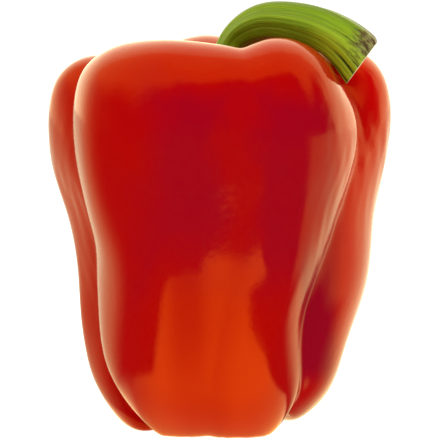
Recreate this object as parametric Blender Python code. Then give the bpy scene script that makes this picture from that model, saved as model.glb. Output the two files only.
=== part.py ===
"""Bell pepper: a lobed, glossy fruit standing on the tips of its lobes, with its calyx and cut stem.

Metres, +Z up. The origin is the middle of the footprint, on the surface that the pepper stands on. The
pepper's broad front faces -Y. The fruit and the stem are UV spheres whose rings and columns are laid anew by
formula: the columns of the fruit run along its lobes and grooves, and the rings of the stem along its bend.
Azimuths are in degrees round +Z, from the front towards the pepper's +X side.
"""

import math
from collections import namedtuple

import bmesh
import bpy
import numpy as np

# Driving dimensions of the fruit
FRUIT_HEIGHT = 0.1000
FOOT_CUT = 0.0005  # how much of each lobe's tip is flattened where it rests
SEAT_RADIUS = 0.0135  # the round seat of the calyx in the sunken crown
SEAT_DEPTH = 0.0130  # from the top of the fruit down to the middle of the seat
SEAT_RISE = 0.0022  # how much higher the seat's rim is than its middle
SCAR_HEIGHT = 0.0080  # the blossom scar between the tips of the lobes
SWELLING = 0.00022  # height of the shallow uneven swellings of the skin
SWELLING_FADE = (0.018, 0.030)  # distances from the axis between which the swellings set in
GROOVE_ROUNDING = 0.07  # share of half a lobe over which a groove's bottom is rounded
ROUNDING_FADE = (0.4, 1.0)  # shares of half a lobe between which that rounding ends
CROWN_FADE = (0.085, 0.17)  # shares of the outline between which grooves and bulges set in at the crown
TIP_FADE = (0.92, 1.00)  # shares of the outline between which the grooves die out at the tips

# Driving dimensions of the stem
CALYX_RADIUS = 0.0112
CALYX_TEETH = 6
CALYX_TOOTH_LENGTH = 0.0013
CALYX_THICKNESS = 0.0014
CALYX_SKEW = 0.5  # radians by which the teeth crowd to one side
TOOTH_VARIATION = 0.4  # by how much of its length one tooth differs from another
TOOTH_LIFT = 0.2  # by how much thicker the calyx is at a tooth
SEAT_GAP = 0.0006  # between the calyx and the fruit
STEM_RIBS = 6
STEM_RIB_SHARE = 0.05  # height of a rib, as a share of the stem's radius
END_DISH = 0.0006  # how far the cut end is hollowed
END_SLANT = 14  # degrees by which the cut leans back over the bend
END_SLANT_LENGTH = 0.25  # share of the stem's rings that the slant takes up
END_ROUNDING = 0.10  # how far the upper corner of the cut end is rounded off, as a share of the radius
END_ROUNDING_LENGTH = 0.05  # share of the stem's rings that the rounding takes up

# Mesh fineness
COLUMNS_PER_FLANK = 10  # from a lobe's crest to the groove beside it
COLUMN_CROWDING = 1.35  # power by which the columns crowd together at the grooves
FRUIT_RINGS = 46
STEM_COLUMNS = 36
STEM_RINGS = 26
END_RINGS = (0.45, 0.88)  # rings of the cut end, as shares of its radius

SHARP_ANGLE = 50  # degrees between faces from which an edge is drawn sharp
SKIN_COLOUR, SKIN_ROUGHNESS = (0.45, 0.004, 0.006), 0.12
STEM_COLOUR, STEM_ROUGHNESS = (0.13, 0.20, 0.02), 0.45

# The outline of a lobe from the rim of the crown to the scar at the other end: shares of the lobe's reach
# and of its height.
LOBE_OUTLINE = (
    (0.42, 0.935),
    (0.55, 0.985),
    (0.69, 1.000),
    (0.82, 0.985),
    (0.935, 0.938),
    (0.990, 0.865),
    (1.000, 0.780),
    (0.968, 0.670),
    (0.898, 0.555),
    (0.860, 0.450),
    (0.820, 0.330),
    (0.765, 0.200),
    (0.695, 0.098),
    (0.585, 0.030),
    (0.475, 0.000),
    (0.320, 0.022),
    (0.160, 0.060),
)

# How far the axis is bent to the right, at shares of the height from the ground up
AXIS_BEND = (
    (0.00, -0.0016),
    (0.12, -0.0015),
    (0.22, -0.0009),
    (0.37, 0.0006),
    (0.52, 0.0002),
    (0.75, 0.0000),
    (1.00, 0.0000),
)

# Crests and grooves in turn round the fruit. Azimuths, and a crest's fullness or a groove's depth in
# millimetres, are given at the places LEVELS along the outline: crown, shoulder, upper waist, lower waist,
# foot and tip. Flanks say how the lobe before a groove and the lobe after it roll into it, each at the crown
# and at the tip: 1 is an open valley, 2 a full round.
LEVELS = (0.15, 0.30, 0.47, 0.66, 0.80, 0.90)
Crest = namedtuple("Crest", "azimuths reach height fullness", defaults=((0,) * len(LEVELS),))
Groove = namedtuple("Groove", "azimuths reach height depths flanks")

FRONT_LEFT_LOBE = Crest(
    azimuths=(-36.3, -35.9, -32.4, -34.8, -33.9, -33),
    reach=0.0412,
    height=0.0998,
    fullness=(0, 0, 1.6, 1.6, 0.3, 0.2),
)
FRONT_FURROW = Groove(
    azimuths=(11, 9, 5, 0, -2, -4),
    reach=0.0400,
    height=0.1000,
    depths=(2.8, 1.0, 0.2, 0.2, 0.6, 0.8),
    flanks=((1.2, 1.2), (1.2, 1.2)),
)
FRONT_RIGHT_LOBE = Crest(
    azimuths=(34.8, 32, 32.7, 23.8, 26.1, 31.4),
    reach=0.0402,
    height=0.1003,
    fullness=(-0.2, 0.1, 2, 1, 0.4, 1.1),
)
FRONT_RIGHT_GROOVE = Groove(
    azimuths=(66, 73.8, 64.5, 45.4, 59.7, 70.7),
    reach=0.0410,
    height=0.0996,
    depths=(9.3, 8.2, 3.2, 3.1, 3.6, 6.8),
    flanks=((2.43, 2.32), (1.49, 1.15)),
)
RIGHT_LOBE = Crest(
    azimuths=(101.5, 101.8, 102.6, 98.5, 108.1, 118.9),
    reach=0.0447,
    height=0.0980,
    fullness=(0.1, 0, -0.2, 0, -0.6, -0.5),
)
BACK_RIGHT_GROOVE = Groove(
    azimuths=(146, 144, 142, 142, 147, 155),
    reach=0.0425,
    height=0.0978,
    depths=(7.0, 7.0, 5.0, 5.5, 7.0, 7.0),
    flanks=((1.5, 1.5), (1.5, 1.5)),
)
BACK_LOBE = Crest(
    azimuths=(188, 187, 187, 188, 192, 196),
    reach=0.0408,
    height=0.1006,
)
BACK_LEFT_GROOVE = Groove(
    azimuths=(230, 228, 226, 226, 232, 240),
    reach=0.0425,
    height=0.0978,
    depths=(7.0, 7.5, 6.0, 6.0, 7.0, 7.0),
    flanks=((1.6, 1.6), (1.6, 1.6)),
)
LEFT_LOBE = Crest(
    azimuths=(260.4, 257.6, 253.3, 255.7, 266.6, 298.3),
    reach=0.0453,
    height=0.0957,
    fullness=(-0.2, 0.1, 0.1, 0.4, -0.1, -0.1),
)
FRONT_LEFT_GROOVE = Groove(
    azimuths=(278.3, 278.8, 282.5, 275, 293.3, 319.4),
    reach=0.0430,
    height=0.0983,
    depths=(8.4, 7, 5.3, 5.3, 5.5, 4.5),
    flanks=((1.58, 1.73), (2.12, 1.48)),
)
LINES = (
    FRONT_LEFT_LOBE,
    FRONT_FURROW,
    FRONT_RIGHT_LOBE,
    FRONT_RIGHT_GROOVE,
    RIGHT_LOBE,
    BACK_RIGHT_GROOVE,
    BACK_LOBE,
    BACK_LEFT_GROOVE,
    LEFT_LOBE,
    FRONT_LEFT_GROOVE,
)

# Soft bulges and dents in the lobes: azimuth, height, width in degrees, tallness in metres, and how far the
# skin stands out there in millimetres
BROAD_FORMS = (
    (-5, 0.0485, 25, 0.0085, 0.75),
    (-8, 0.0419, 16.4, 0.0124, 0.48),
    (-4, 0.0561, 16.7, 0.0052, 0.21),
    (16, 0.0539, 5.5, 0.0068, 0.62),
    (14, 0.0325, 18, 0.0059, -0.31),
    (-86, 0.0065, 15.8, 0.0052, -1.39),
    (44, 0.0269, 8, 0.0077, -0.77),
    (66, 0.0779, 6.5, 0.0074, 0.82),
    (-66, 0.0470, 11.3, 0.0052, -0.92),
    (-51, 0.0741, 5.6, 0.0133, 0.85),
    (91, 0.0226, 6.7, 0.0069, -0.78),
    (-91, 0.0590, 5.4, 0.0084, -0.91),
    (40, 0.0610, 16.5, 0.0050, -0.90),
    (62, 0.0925, 11, 0.0058, -1.80),
)

# Shallow swellings of the skin: waves round the fruit, how far they drift and how they beat upwards in
# radians per metre, the angles at which they start, and their share
SWELLING_WAVES = (
    (3, 70, 95, 1.1, 0.6, 1.0),
    (7, -60, 150, 0.0, 2.0, 0.7),
)

# The calyx from its top to its underside: shares of its radius, and heights over the seat in thicknesses
CALYX_SECTION = (
    (0.52, 2.3),
    (0.70, 1.5),
    (0.90, 1.0),
    (1.00, 0.6),
    (0.98, 0.1),
    (0.75, 0.0),
    (0.50, 0.0),
    (0.25, 0.0),
)

# The stem's centre line from the calyx to the cut end, as (x, y, z) and the radius there, in metres
STEM_LINE = (
    ((0.0010, 0.0000, 0.0893), 0.0046),
    ((0.0022, 0.0000, 0.0965), 0.0034),
    ((0.0055, -0.0010, 0.1009), 0.0038),
    ((0.0105, -0.0036, 0.1034), 0.0045),
    ((0.0161, -0.0068, 0.1038), 0.0049),
    ((0.0230, -0.0110, 0.1025), 0.0053),
    ((0.0285, -0.0135, 0.1001), 0.0056),
    ((0.0324, -0.0143, 0.0971), 0.0061),
    ((0.0355, -0.0146, 0.0936), 0.0066),
)


def cubic_spline(knots, values, at, period=None):
    """Values at the places `at` of the natural cubic spline through the knots, or of the periodic one."""
    knots, values = np.asarray(knots, float), np.asarray(values, float)
    if period:
        knots = np.concatenate([knots - period, knots, knots + period])
        values = np.tile(values, 3)
    count = len(knots)
    gap = np.diff(knots)
    slope = np.diff(values) / gap
    system, right = np.eye(count), np.zeros(count)
    for i in range(1, count - 1):
        system[i, i - 1 : i + 2] = gap[i - 1], 2 * (gap[i - 1] + gap[i]), gap[i]
        right[i] = 6 * (slope[i] - slope[i - 1])
    bend = np.linalg.solve(system, right)
    i = np.clip(np.searchsorted(knots, at) - 1, 0, count - 2)
    step = np.asarray(at, float) - knots[i]
    first = slope[i] - gap[i] * (2 * bend[i] + bend[i + 1]) / 6
    return values[i] + step * (first + step * (bend[i] / 2 + step * (bend[i + 1] - bend[i]) / (6 * gap[i])))


def smooth_step(low, high, x):
    t = np.clip((x - low) / (high - low), 0, 1)
    return t * t * (3 - 2 * t)


def round_lines(values, u):
    """A value given on each line, at the column positions u, which count lines round the fruit."""
    return cubic_spline(range(len(LINES)), values, u, period=len(LINES))


def at_levels(values, v):
    """A value given at each level, at the places v along the outline."""
    return cubic_spline((0,) + LEVELS + (1,), (values[0],) + values + (values[-1],), v)


def round_each_ring(values, u):
    """Values given on each line at each ring, spread over the columns: an array of columns by rings."""
    return np.array([round_lines(ring_values, u) for ring_values in np.transpose(values)]).T


def column_azimuths(u, v):
    """Azimuth in radians of each column at each ring, so that columns run along the crests and grooves."""
    even = 360 / len(LINES)
    beyond_even = [at_levels(line.azimuths, v) - even * k for k, line in enumerate(LINES)]
    return np.radians(round_each_ring(beyond_even, u) + even * u[:, None])


def envelope(u, v):
    """Points of the fruit without its grooves, on a grid of columns u and rings v."""
    reaches = round_lines([line.reach for line in LINES], u)
    heights = round_lines([line.height for line in LINES], u)
    seat = FRUIT_HEIGHT - SEAT_DEPTH
    radius, height = [], []
    for column_reach, column_height in zip(reaches, heights):
        r = [0, SEAT_RADIUS / 2, SEAT_RADIUS] + [share * column_reach for share, _ in LOBE_OUTLINE] + [0]
        z = [seat, seat + SEAT_RISE / 4, seat + SEAT_RISE]
        z += [share * column_height for _, share in LOBE_OUTLINE] + [SCAR_HEIGHT]
        length = np.concatenate([[0], np.cumsum(np.hypot(np.diff(r), np.diff(z)))])
        radius.append(cubic_spline(length / length[-1], r, v))
        height.append(cubic_spline(length / length[-1], z, v))
    radius, height = np.array(radius), np.array(height)
    azimuth = column_azimuths(u, v)
    bend = cubic_spline(*zip(*AXIS_BEND), height / FRUIT_HEIGHT)
    return np.stack([radius * np.sin(azimuth) + bend, -radius * np.cos(azimuth), height], axis=2)


def surface_normals(points):
    """Outward normals of a grid of points whose last column is beside its first."""
    around = np.roll(points, -1, axis=0) - np.roll(points, 1, axis=0)
    along = np.gradient(points, axis=1)
    normal = np.cross(along, around)
    return normal / np.linalg.norm(normal, axis=2, keepdims=True)


def notch(x, flank):
    """Depth of a groove, from 1 at its bottom to 0 at the crests beside it, at x of the way to a crest."""
    def profile(t):
        return 1 - (1 - (1 - np.clip(t, 0, 1)) ** 2) ** (1 / flank)

    far = smooth_step(*ROUNDING_FADE, x)
    rounded = np.hypot(x, GROOVE_ROUNDING) * (1 - far) + x * far
    return profile(rounded) / profile(GROOVE_ROUNDING)


def relief(u, v):
    """How far the skin lies outside the envelope, which is less than nothing in the grooves."""
    fullness = [at_levels(line.fullness, v) if isinstance(line, Crest) else 0 * v for line in LINES]
    height = round_each_ring(fullness, u)
    for k, line in enumerate(LINES):
        if isinstance(line, Crest):
            continue
        across = (u - k + len(LINES) / 2) % len(LINES) - len(LINES) / 2
        depth = at_levels(line.depths, v)
        for side, (at_crown, at_tip) in zip((-1, 1), line.flanks):
            near = (np.sign(across + 1e-9) == side) & (np.abs(across) < 1)
            flank = at_crown + (at_tip - at_crown) * v
            height[near] -= notch(np.abs(across[near, None]), flank) * depth
    return height / 1000 * smooth_step(*CROWN_FADE, v) * (1 - smooth_step(*TIP_FADE, v))


def swelling(points):
    x, y, z = np.moveaxis(points, 2, 0)
    around = np.arctan2(y, x)
    height = 0
    for count, drift, beat, start, beat_start, share in SWELLING_WAVES:
        height = height + share * np.sin(count * around + drift * z + start) * np.sin(beat * z + beat_start)
    return SWELLING * height * smooth_step(*SWELLING_FADE, np.hypot(x, y))


def broad_forms(points, v):
    x, y, z = np.moveaxis(points, 2, 0)
    azimuth = np.degrees(np.arctan2(x, -y))
    height = 0
    for middle, level, width, tallness, amount in BROAD_FORMS:
        away = (azimuth - middle + 180) % 360 - 180
        height = height + amount * np.exp(-0.5 * ((away / width) ** 2 + ((z - level) / tallness) ** 2))
    return height / 1000 * smooth_step(*CROWN_FADE, v)


def fruit_grid(u, v):
    points = envelope(u, v)
    normals = surface_normals(points)
    return points + normals * (swelling(points) + broad_forms(points, v) + relief(u, v))[..., None]


def column_positions(per_flank):
    """Positions of the columns, closer together beside the grooves than on the crests."""
    share = np.arange(per_flank) / per_flank
    towards_groove = 1 - (1 - share) ** COLUMN_CROWDING
    from_groove = share**COLUMN_CROWDING
    lobes = [[k + towards_groove, k + 1 + from_groove] for k in range(0, len(LINES), 2)]
    return np.concatenate(lobes).ravel()


def relaid_sphere(grid, first_pole, last_pole):
    """A UV sphere with its vertices moved to a grid of columns by rings and to two poles."""
    columns, rings = grid.shape[:2]
    bm = bmesh.new()
    bmesh.ops.create_uvsphere(bm, u_segments=columns, v_segments=rings + 1, radius=1)
    turn = 2 * math.pi
    for vertex in bm.verts:
        x, y, z = vertex.co
        if math.hypot(x, y) < 1e-5:
            vertex.co = first_pole if z > 0 else last_pole
            continue
        column = round(math.atan2(y, x) % turn / turn * columns) % columns
        ring = round(math.acos(z) / math.pi * (rings + 1)) - 1
        vertex.co = grid[column, ring]
    return bm


def flatten_feet(bm):
    """Cuts the tips of the lobes level with the ground."""
    bmesh.ops.translate(bm, verts=bm.verts, vec=(0, 0, -FOOT_CUT))
    everything = bm.verts[:] + bm.edges[:] + bm.faces[:]
    down = (0, 0, -1)
    cut = bmesh.ops.bisect_plane(bm, geom=everything, plane_co=(0, 0, 0), plane_no=down, clear_outer=True)
    rim = [item for item in cut["geom_cut"] if isinstance(item, bmesh.types.BMEdge)]
    bmesh.ops.holes_fill(bm, edges=rim)


def new_object(name, bm, colour, roughness):
    mesh = bpy.data.meshes.new(name)
    bm.to_mesh(mesh)
    bm.free()
    mesh.shade_smooth()
    mesh.set_sharp_from_angle(angle=math.radians(SHARP_ANGLE))
    material = bpy.data.materials.new(name)
    material.use_nodes = True
    shader = material.node_tree.nodes["Principled BSDF"]
    shader.inputs["Base Color"].default_value = (*colour, 1)
    shader.inputs["Roughness"].default_value = roughness
    mesh.materials.append(material)
    return bpy.data.objects.new(name, mesh)


def build_fruit():
    u = column_positions(COLUMNS_PER_FLANK)
    v = np.arange(1, FRUIT_RINGS) / FRUIT_RINGS
    bm = relaid_sphere(fruit_grid(u, v), (0, 0, FRUIT_HEIGHT - SEAT_DEPTH), (0, 0, SCAR_HEIGHT))
    flatten_feet(bm)
    return new_object("fruit", bm, SKIN_COLOUR, SKIN_ROUGHNESS)


def seat_height(radius):
    """Height of the fruit's seat at a distance from its middle."""
    return FRUIT_HEIGHT - SEAT_DEPTH - FOOT_CUT + SEAT_RISE * (radius / SEAT_RADIUS) ** 2


def stem_frames(count):
    """Points along the stem's centre line, with two directions across it and the radius at each."""
    places = np.linspace(0, len(STEM_LINE) - 1, count)
    centres = np.array([point for point, _ in STEM_LINE])
    centres = np.stack([cubic_spline(range(len(centres)), axis, places) for axis in centres.T], axis=1)
    radii = cubic_spline(range(len(STEM_LINE)), [radius for _, radius in STEM_LINE], places)
    along = np.gradient(centres, axis=0)
    along /= np.linalg.norm(along, axis=1, keepdims=True)
    first, second = [], []
    direction = np.array([1.0, 0.0, 0.0])
    for tangent in along:
        direction = direction - tangent * direction.dot(tangent)
        direction /= np.linalg.norm(direction)
        first.append(direction)
        second.append(np.cross(tangent, direction))
    return centres, along, np.array(first), np.array(second), radii


def stem_grid(columns, rings):
    """Rings of the stem and calyx, from the middle of the cut end to the middle of the underside."""
    turn = np.arange(columns) / columns * 2 * math.pi
    place = np.linspace(0, 1, rings)
    ribs = 1 + STEM_RIB_SHARE * np.cos(STEM_RIBS * turn)
    centres, along, first, second, radii = stem_frames(rings)
    across = np.cos(turn)[:, None, None] * first + np.sin(turn)[:, None, None] * second
    spokes = across * (radii * ribs[:, None])[..., None]
    outer = np.array([0, 0, 1]) - along * along[:, 2:]
    outer /= np.linalg.norm(outer, axis=1, keepdims=True)
    upward = np.maximum((spokes * outer).sum(axis=2) / radii, 0)
    at_end = np.clip(1 - (1 - place) / END_ROUNDING_LENGTH, 0, 1)
    slant = math.tan(math.radians(END_SLANT)) * smooth_step(1 - END_SLANT_LENGTH, 1, place)
    spokes -= (spokes * outer).sum(axis=2, keepdims=True) * slant[:, None] * along
    spokes *= (1 - END_ROUNDING * at_end**2 * upward**2)[..., None]
    barrel = centres + spokes
    shares = np.array(END_RINGS)
    dish = END_DISH * (1 - shares**2)
    end = centres[-1] + spokes[:, -1:] * shares[:, None]
    end = end - dish[None, :, None] * along[-1]
    tooth = np.cos(CALYX_TEETH * turn + CALYX_SKEW * np.sin(turn))
    rim = CALYX_RADIUS + CALYX_TOOTH_LENGTH * tooth * (1 + TOOTH_VARIATION * np.cos(2 * turn))
    disc = []
    for share, lift in CALYX_SECTION:
        r = rim * share
        z = seat_height(r) + SEAT_GAP + CALYX_THICKNESS * lift * (1 + TOOTH_LIFT * tooth)
        disc.append(np.stack([r * np.cos(turn), r * np.sin(turn), z], axis=1))
    grid = np.concatenate([end, barrel[:, ::-1], np.stack(disc, axis=1)], axis=1)
    return grid, centres[-1] - END_DISH * along[-1]


def build_stem():
    grid, end_middle = stem_grid(STEM_COLUMNS, STEM_RINGS)
    bm = relaid_sphere(grid, end_middle, (0, 0, seat_height(0) + SEAT_GAP))
    return new_object("stem", bm, STEM_COLOUR, STEM_ROUGHNESS)


def main():
    for old in list(bpy.data.objects):
        bpy.data.objects.remove(old)
    collection = bpy.data.collections.new("bell_pepper")
    bpy.context.scene.collection.children.link(collection)
    collection.objects.link(build_fruit())
    collection.objects.link(build_stem())


main()
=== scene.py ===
"""The looks of the bell pepper: a finer fruit and stem for the CAD ones, their materials, and a studio.

Metres, +Z up. The fruit and the stem follow the same formulas and dimensions as the CAD model, with more
columns and rings and with finer relief. Azimuths are in degrees round +Z, from the front (-Y) towards +X.
"""

import math
from collections import namedtuple

import bmesh
import bpy
import numpy as np
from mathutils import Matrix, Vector


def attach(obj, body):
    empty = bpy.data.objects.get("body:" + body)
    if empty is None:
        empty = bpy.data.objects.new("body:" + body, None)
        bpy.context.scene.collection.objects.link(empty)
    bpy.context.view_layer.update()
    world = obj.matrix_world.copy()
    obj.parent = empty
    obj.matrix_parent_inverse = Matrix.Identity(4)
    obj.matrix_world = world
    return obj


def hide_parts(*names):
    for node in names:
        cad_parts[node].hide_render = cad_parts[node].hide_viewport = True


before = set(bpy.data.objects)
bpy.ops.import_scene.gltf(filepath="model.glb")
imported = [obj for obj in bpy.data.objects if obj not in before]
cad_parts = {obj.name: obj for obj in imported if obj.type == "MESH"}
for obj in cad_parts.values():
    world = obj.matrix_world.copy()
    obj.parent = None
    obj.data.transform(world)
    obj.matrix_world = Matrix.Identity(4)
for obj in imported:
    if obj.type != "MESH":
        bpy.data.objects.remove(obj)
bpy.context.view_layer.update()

# Driving dimensions of the fruit
FRUIT_HEIGHT = 0.1000
FOOT_CUT = 0.0005  # how much of each lobe's tip is flattened where it rests
SEAT_RADIUS = 0.0135  # the round seat of the calyx in the sunken crown
SEAT_DEPTH = 0.0130  # from the top of the fruit down to the middle of the seat
SEAT_RISE = 0.0022  # how much higher the seat's rim is than its middle
SCAR_HEIGHT = 0.0080  # the blossom scar between the tips of the lobes
SWELLING = 0.00022  # height of the shallow uneven swellings of the skin
SWELLING_FADE = (0.018, 0.030)  # distances from the axis between which the swellings set in
GROOVE_ROUNDING = 0.07  # share of half a lobe over which a groove's bottom is rounded
ROUNDING_FADE = (0.4, 1.0)  # shares of half a lobe between which that rounding ends
CROWN_FADE = (0.085, 0.17)  # shares of the outline between which grooves and bulges set in at the crown
TIP_FADE = (0.92, 1.00)  # shares of the outline between which the grooves die out at the tips

# Driving dimensions of the stem
CALYX_RADIUS = 0.0112
CALYX_TEETH = 6
CALYX_TOOTH_LENGTH = 0.0013
CALYX_THICKNESS = 0.0014
CALYX_SKEW = 0.5  # radians by which the teeth crowd to one side
TOOTH_VARIATION = 0.4  # by how much of its length one tooth differs from another
TOOTH_LIFT = 0.2  # by how much thicker the calyx is at a tooth
SEAT_GAP = 0.0006  # between the calyx and the fruit
STEM_RIBS = 6
STEM_RIB_SHARE = 0.05  # height of a rib, as a share of the stem's radius
FIBRE_SHARE = 0.006  # height of a fibre, as a share of the stem's radius
END_FOLDS = 0.045  # height of the folds at the cut end, as a share of the stem's radius
END_FOLDS_FADE = (0.62, 0.96)  # shares of the stem's length between which the folds set in
END_DISH = 0.0006  # how far the cut end is hollowed
END_SLANT = 14  # degrees by which the cut leans back over the bend
END_SLANT_LENGTH = 0.25  # share of the stem's rings that the slant takes up
END_ROUNDING = 0.10  # how far the upper corner of the cut end is rounded off, as a share of the radius
END_ROUNDING_LENGTH = 0.05  # share of the stem's rings that the rounding takes up

# Mesh fineness
COLUMNS_PER_FLANK = 30  # from a lobe's crest to the groove beside it
COLUMN_CROWDING = 1.35  # power by which the columns crowd together at the grooves
FRUIT_RINGS = 190
STEM_COLUMNS = 216
STEM_RINGS = 150
CALYX_RINGS_PER_STEP = 8  # rings from one point of the calyx's section to the next
END_RINGS = (0.12, 0.25, 0.40, 0.55, 0.70, 0.82, 0.90, 0.95, 0.985)  # shares of the cut end's radius
SHARP_ANGLE = 60  # degrees between faces from which an edge is drawn sharp

# The outline of a lobe from the rim of the crown to the scar at the other end: shares of the lobe's reach
# and of its height.
LOBE_OUTLINE = (
    (0.42, 0.935),
    (0.55, 0.985),
    (0.69, 1.000),
    (0.82, 0.985),
    (0.935, 0.938),
    (0.990, 0.865),
    (1.000, 0.780),
    (0.968, 0.670),
    (0.898, 0.555),
    (0.860, 0.450),
    (0.820, 0.330),
    (0.765, 0.200),
    (0.695, 0.098),
    (0.585, 0.030),
    (0.475, 0.000),
    (0.320, 0.022),
    (0.160, 0.060),
)

# How far the axis is bent to the right, at shares of the height from the ground up
AXIS_BEND = (
    (0.00, -0.0016),
    (0.12, -0.0015),
    (0.22, -0.0009),
    (0.37, 0.0006),
    (0.52, 0.0002),
    (0.75, 0.0000),
    (1.00, 0.0000),
)

# Crests and grooves in turn round the fruit. Azimuths, and a crest's fullness or a groove's depth in
# millimetres, are given at the places LEVELS along the outline: crown, shoulder, upper waist, lower waist,
# foot and tip. Flanks say how the lobe before a groove and the lobe after it roll into it, each at the crown
# and at the tip: 1 is an open valley, 2 a full round.
LEVELS = (0.15, 0.30, 0.47, 0.66, 0.80, 0.90)
Crest = namedtuple("Crest", "azimuths reach height fullness", defaults=((0,) * len(LEVELS),))
Groove = namedtuple("Groove", "azimuths reach height depths flanks")

FRONT_LEFT_LOBE = Crest(
    azimuths=(-36.3, -35.9, -32.4, -34.8, -33.9, -33),
    reach=0.0412,
    height=0.0998,
    fullness=(0, 0, 1.6, 1.6, 0.3, 0.2),
)
FRONT_FURROW = Groove(
    azimuths=(11, 9, 5, 0, -2, -4),
    reach=0.0400,
    height=0.1000,
    depths=(2.8, 1.0, 0.2, 0.2, 0.6, 0.8),
    flanks=((1.2, 1.2), (1.2, 1.2)),
)
FRONT_RIGHT_LOBE = Crest(
    azimuths=(34.8, 32, 32.7, 23.8, 26.1, 31.4),
    reach=0.0402,
    height=0.1003,
    fullness=(-0.2, 0.1, 2, 1, 0.4, 1.1),
)
FRONT_RIGHT_GROOVE = Groove(
    azimuths=(66, 73.8, 64.5, 45.4, 59.7, 70.7),
    reach=0.0410,
    height=0.0996,
    depths=(9.3, 8.2, 3.2, 3.1, 3.6, 6.8),
    flanks=((2.43, 2.32), (1.49, 1.15)),
)
RIGHT_LOBE = Crest(
    azimuths=(101.5, 101.8, 102.6, 98.5, 108.1, 118.9),
    reach=0.0447,
    height=0.0980,
    fullness=(0.1, 0, -0.2, 0, -0.6, -0.5),
)
BACK_RIGHT_GROOVE = Groove(
    azimuths=(146, 144, 142, 142, 147, 155),
    reach=0.0425,
    height=0.0978,
    depths=(7.0, 7.0, 5.0, 5.5, 7.0, 7.0),
    flanks=((1.5, 1.5), (1.5, 1.5)),
)
BACK_LOBE = Crest(
    azimuths=(188, 187, 187, 188, 192, 196),
    reach=0.0408,
    height=0.1006,
)
BACK_LEFT_GROOVE = Groove(
    azimuths=(230, 228, 226, 226, 232, 240),
    reach=0.0425,
    height=0.0978,
    depths=(7.0, 7.5, 6.0, 6.0, 7.0, 7.0),
    flanks=((1.6, 1.6), (1.6, 1.6)),
)
LEFT_LOBE = Crest(
    azimuths=(260.4, 257.6, 253.3, 255.7, 266.6, 298.3),
    reach=0.0453,
    height=0.0957,
    fullness=(-0.2, 0.1, 0.1, 0.4, -0.1, -0.1),
)
FRONT_LEFT_GROOVE = Groove(
    azimuths=(278.3, 278.8, 282.5, 275, 293.3, 319.4),
    reach=0.0430,
    height=0.0983,
    depths=(8.4, 7, 5.3, 5.3, 5.5, 4.5),
    flanks=((1.58, 1.73), (2.12, 1.48)),
)
LINES = (
    FRONT_LEFT_LOBE,
    FRONT_FURROW,
    FRONT_RIGHT_LOBE,
    FRONT_RIGHT_GROOVE,
    RIGHT_LOBE,
    BACK_RIGHT_GROOVE,
    BACK_LOBE,
    BACK_LEFT_GROOVE,
    LEFT_LOBE,
    FRONT_LEFT_GROOVE,
)

# Soft bulges and dents: azimuth, height, width in degrees, tallness in metres, and height in millimetres.
# All are in the CAD model but the narrow one below the stem's end, at 75 degrees.
BROAD_FORMS = (
    (-5, 0.0485, 25, 0.0085, 0.75),
    (-8, 0.0419, 16.4, 0.0124, 0.48),
    (-4, 0.0561, 16.7, 0.0052, 0.21),
    (16, 0.0539, 5.5, 0.0068, 0.62),
    (14, 0.0325, 18, 0.0059, -0.31),
    (75, 0.0835, 1.7, 0.0060, 0.45),
    (-86, 0.0065, 15.8, 0.0052, -1.39),
    (44, 0.0269, 8, 0.0077, -0.77),
    (66, 0.0779, 6.5, 0.0074, 0.82),
    (-66, 0.0470, 11.3, 0.0052, -0.92),
    (-51, 0.0741, 5.6, 0.0133, 0.85),
    (91, 0.0226, 6.7, 0.0069, -0.78),
    (-91, 0.0590, 5.4, 0.0084, -0.91),
    (40, 0.0610, 16.5, 0.0050, -0.90),
    (62, 0.0925, 11, 0.0058, -1.80),
)

# Where the skin is wrinkled: azimuth, height, width in degrees, tallness in metres, and height in millimetres
WRINKLED = (
    (50, 0.0640, 13, 0.0150, 0.055),
    (-86, 0.0560, 12, 0.0160, 0.060),
    (95, 0.0700, 14, 0.0180, 0.065),
    (165, 0.0600, 30, 0.0200, 0.040),
)

# Shallow swellings of the skin: waves round the fruit, how far they drift and how they beat upwards in
# radians per metre, the angles at which they start, and their share
SWELLING_WAVES = (
    (3, 70, 95, 1.1, 0.6, 1.0),
    (7, -60, 150, 0.0, 2.0, 0.7),
)

# A wave round the fruit or the stem: how many there are, its share of the height, its start and its drift
# along the piece, and how far and how fast it sways there.
WAVE_DEFAULTS = (1.0, 0.0, 0.0, 0.0, 0.0, 0.0)
Wave = namedtuple("Wave", "count share start drift sway beat beat_start", defaults=WAVE_DEFAULTS)
WRINKLE_WAVES = (Wave(41, sway=4, beat=70, beat_start=1.0), Wave(63, share=0.7, sway=-5, beat=95))
WRINKLE_UNEVENNESS = (0.25, 9, 260)  # its share, and how it turns round the fruit and upwards
FIBRE_WAVES = (
    Wave(17, sway=1.3, beat=3),
    Wave(29, share=0.7, start=2.0, drift=-2.0),
    Wave(43, share=0.5, start=4.0, drift=3.0),
)
FOLD_WAVES = (Wave(6.5, start=0.4, sway=0.5, beat=8), Wave(11, share=0.7, sway=1.1, beat=6))
FOLD_LEVEL = 1.45  # taken from the folds, so that most of them lie below the stem's surface
FOLD_SHARPNESS = 0.5  # power that narrows the creases between the folds

# The calyx from its top to its underside: shares of its radius, and heights over the seat in thicknesses
CALYX_SECTION = (
    (0.52, 2.3),
    (0.70, 1.5),
    (0.90, 1.0),
    (1.00, 0.6),
    (0.98, 0.1),
    (0.75, 0.0),
    (0.50, 0.0),
    (0.25, 0.0),
)

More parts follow.
